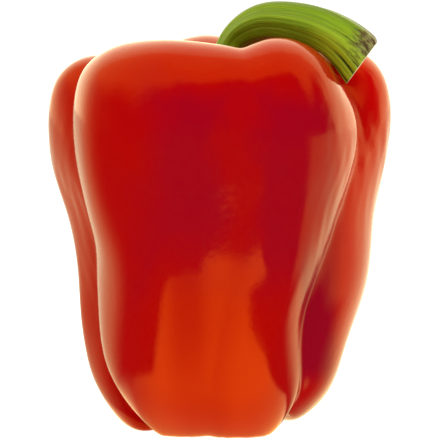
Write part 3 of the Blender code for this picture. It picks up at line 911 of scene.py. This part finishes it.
def floor_material():
    """White to the eye. In reflections it is bright behind the pepper and in a patch before it."""
    material, g, shader = new_material("studio_floor")
    shader.inputs["Base Color"].default_value = FLOOR_GREY
    shader.inputs["Roughness"].default_value = 1.0
    shader.inputs["Specular IOR Level"].default_value = 0.0
    shader.inputs["Emission Color"].default_value = WHITE
    shader.inputs["Emission Strength"].default_value = FLOOR_GLOW
    x, y, _ = g.split(g.add("ShaderNodeNewGeometry").outputs["Position"])
    azimuth = g.azimuth(x, y)
    distance = g.math("SQRT", g.total(g.product(x, x), g.product(y, y)))
    bright = g.highest(floor_patch(g, x, y, azimuth, distance), floor_sides(g, azimuth, distance))
    aside = g.math("ABSOLUTE", azimuth)
    tint = g.mix(g.turn_ramp(aside, *TINT_TURN_DEGREES), PATCH_TINT, SIDE_TINT)
    tint = g.mix(g.turn_ramp(aside, *BEHIND), tint, BACK_TINT)
    glow = g.add("ShaderNodeEmission", {"Color": tint, "Strength": g.total(bright, FLOOR_REST)})
    is_glossy = g.add("ShaderNodeLightPath").outputs["Is Glossy Ray"]
    mixed = g.add("ShaderNodeMixShader", {0: is_glossy, 1: shader.outputs[0], 2: glow.outputs[0]})
    g.put(mixed.outputs[0], g.tree.nodes["Material Output"].inputs["Surface"])
    return material


def build_floor():
    bm = bmesh.new()
    bmesh.ops.create_grid(bm, x_segments=1, y_segments=1, size=FLOOR_SIZE)
    mesh = bpy.data.meshes.new("floor")
    bm.to_mesh(mesh)
    bm.free()
    floor = new_object("floor", mesh, floor_material())


def world_sides(g, generated, azimuth):
    """Brightness of the surroundings beside and behind the pepper, uneven on the right."""
    uneven = g.scaled(g.noise(generated, *RIGHT_NOISE), *RIGHT_WANDER)
    right = g.turn_ramp(g.total(azimuth, uneven), *RIGHT_DEGREES)
    return g.product(g.highest(right, g.turn_ramp(azimuth, *LEFT_DEGREES)), SIDE_GLOW)


def world_top(g, generated, azimuth, z):
    """Brightness of the surroundings above an uneven edge, which comes lower on either side."""
    leftward = g.turn_ramp(azimuth, *LEFTWARD_DEGREES)
    rightward = g.turn_ramp(azimuth, *RIGHTWARD_DEGREES)
    rightward = g.product(rightward, g.turn_ramp(azimuth, *RIGHTWARD_FALL_DEGREES))
    lowered = g.total(g.product(leftward, LOWERED_LEFT), g.product(rightward, LOWERED_RIGHT))
    edge = g.scaled(g.noise(generated, *TOP_EDGE_NOISE), *TOP_EDGE_HEIGHT)
    edge = g.math("SUBTRACT", edge, lowered)
    softness = g.scaled(g.highest(leftward, rightward), *TOP_SOFTNESS)
    above = g.math("DIVIDE", g.math("SUBTRACT", z, edge), softness)
    return g.ramp(above, 0.0, 1.0, 0.0, TOP_GLOW)


def build_world():
    """White to the eye. In reflections it is dark on the camera's side and bright behind and above."""
    world = bpy.data.worlds.new("studio")
    world.use_nodes = True
    bpy.context.scene.world = world
    g = Graph(world.node_tree)
    generated = g.add("ShaderNodeTexCoord").outputs["Generated"]
    x, y, z = g.split(generated)
    azimuth = g.azimuth(x, y)
    sides = world_sides(g, generated, azimuth)
    top = world_top(g, generated, azimuth, z)
    reflected = g.total(g.highest(sides, top), BACKDROP_REST)
    rays = g.add("ShaderNodeLightPath")
    is_camera, is_glossy = rays.outputs["Is Camera Ray"], rays.outputs["Is Glossy Ray"]
    strength = g.mix_numbers(is_glossy, g.ramp(z, *AMBIENT), reflected)
    strength = g.mix_numbers(is_camera, strength, BACKDROP_GLOW)
    tint = g.mix(g.turn_ramp(g.math("ABSOLUTE", azimuth), *BEHIND), SIDE_TINT, BACK_TINT)
    tint = g.mix(g.ramp(g.math("SUBTRACT", top, sides), *TOP_TINT), tint, PATCH_TINT)
    background = world.node_tree.nodes["Background"]
    g.put(strength, background.inputs["Strength"])
    g.put(g.mix(is_glossy, WHITE, tint), background.inputs["Color"])


def add_light(name, place, aim, size, power):
    light = bpy.data.lights.new(name, "AREA")
    light.shape = "DISK"
    light.size = size
    light.energy = power
    lamp = bpy.data.objects.new(name, light)
    lamp.location = place
    lamp.rotation_mode = "QUATERNION"
    lamp.rotation_quaternion = (Vector(aim) - Vector(place)).to_track_quat("-Z", "Y")
    lamp.visible_camera = False
    lamp.visible_glossy = False
    bpy.context.scene.collection.objects.link(lamp)


def add_camera():
    tilt = math.radians(VIEW_ELEVATION)
    forward = Vector((0, math.cos(tilt), -math.sin(tilt)))
    data = bpy.data.cameras.new("camera")
    data.sensor_width = SENSOR
    data.lens = SENSOR * VIEW_DISTANCE / VIEW_WIDTH
    data.clip_start = 0.01
    data.clip_end = 20
    camera = bpy.data.objects.new("camera", data)
    camera.location = VIEW_TARGET - forward * VIEW_DISTANCE
    camera.rotation_mode = "QUATERNION"
    camera.rotation_quaternion = forward.to_track_quat("-Z", "Y")
    bpy.context.scene.collection.objects.link(camera)
    bpy.context.scene.camera = camera


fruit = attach(build_fruit(), "root")
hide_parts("fruit")
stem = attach(build_stem(), "root")
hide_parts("stem")
build_floor()
build_world()
add_light("key", KEY_PLACE, KEY_AIM, KEY_SIZE, KEY_POWER)
add_camera()
bpy.context.scene.view_settings.view_transform = "Standard"
